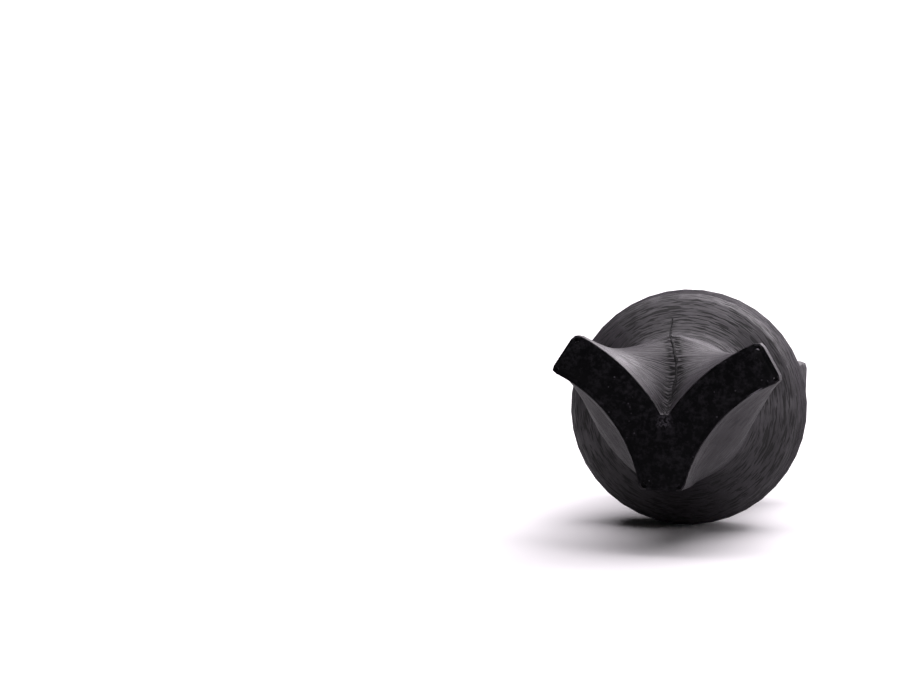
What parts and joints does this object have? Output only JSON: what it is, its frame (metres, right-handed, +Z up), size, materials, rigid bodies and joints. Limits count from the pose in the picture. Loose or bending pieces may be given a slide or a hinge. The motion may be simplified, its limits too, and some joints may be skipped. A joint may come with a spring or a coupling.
{
  "type": "clay stamp",
  "caption": "Small double-ended hand stamp for clay, with a faceted round grip, a curved three-armed pressing figure on one end and a rounded bar on the other.",
  "frame": {"origin": "on the table, under the middle of the stamp's bounding box, as it lies on its grip", "axes": "+Z up, -Y towards the end with the pressing figure, +X to the right seen from that end. The stamp's own axis runs along Y and is raised 5 degrees towards -Y."},
  "size_m": [0.027, 0.057, 0.0271],
  "materials": {
    "black_plastic": "satin, in fine printed layers",
    "infill_plastic": "plain"
  },
  "bodies": {
    "root": {"pressing_face": "black_plastic", "front_head": "black_plastic", "front_flare": "black_plastic", "grip_wall": "black_plastic", "grip_core": "infill_plastic", "rear_flare": "black_plastic", "rear_head": "black_plastic", "rear_face": "black_plastic"}
  },
  "joints": []
}
